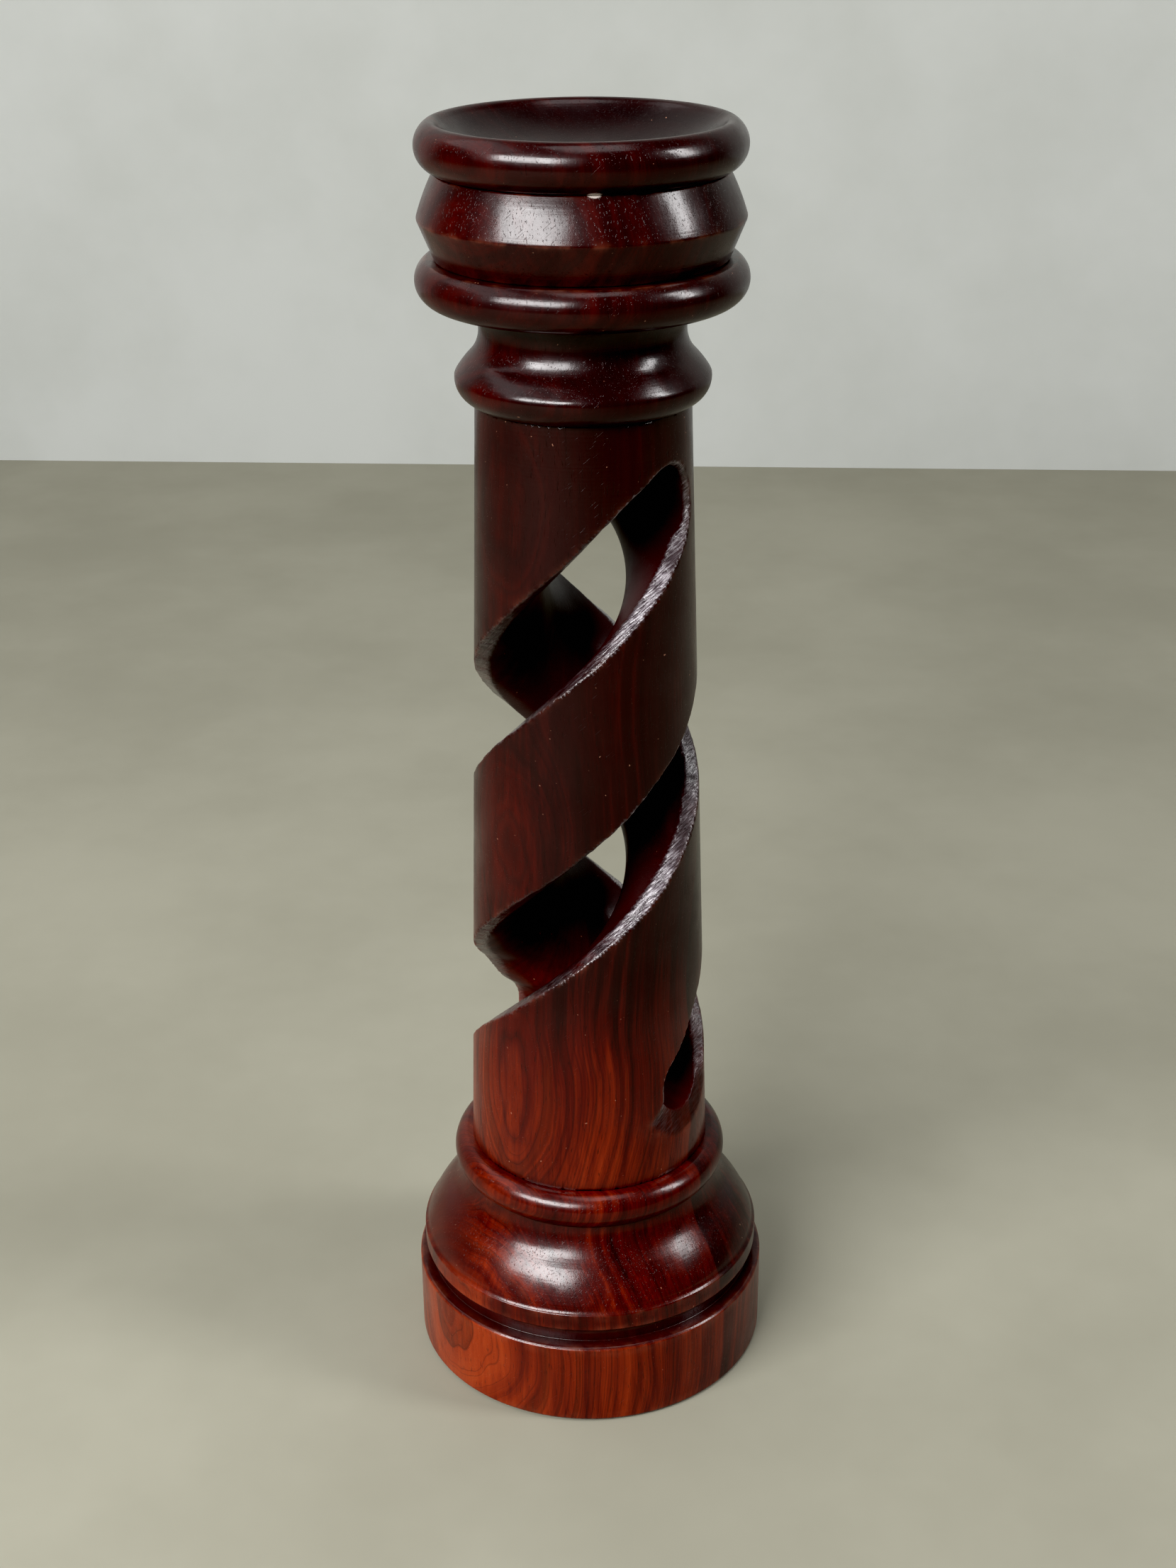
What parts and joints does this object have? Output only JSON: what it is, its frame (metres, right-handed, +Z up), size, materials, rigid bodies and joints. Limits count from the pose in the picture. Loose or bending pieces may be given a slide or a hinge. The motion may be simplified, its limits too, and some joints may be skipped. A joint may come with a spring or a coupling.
{
  "type": "wooden candlestick",
  "caption": "Turned dark wood candlestick: round moulded foot, tapered column with an open double right-hand twist, moulded capital and a dished rim with a candle socket.",
  "frame": {"origin": "centre of the foot's flat underside", "axes": "+Z up along the turning axis, from the foot to the rim; -Y is the front"},
  "size_m": [0.0868, 0.0868, 0.3],
  "materials": {
    "foot_wood": "satin varnish over red-brown rosewood",
    "column_wood": "satin varnish over dark rosewood, bare rasped bevels at the slots",
    "capital_wood": "glossy varnish over very dark rosewood"
  },
  "bodies": {
    "root": {"foot_plinth": "foot_wood", "base_moulding": "foot_wood", "twist_column": "column_wood", "neck_collar": "capital_wood", "capital_ring": "capital_wood", "drip_dish": "capital_wood"}
  },
  "joints": []
}
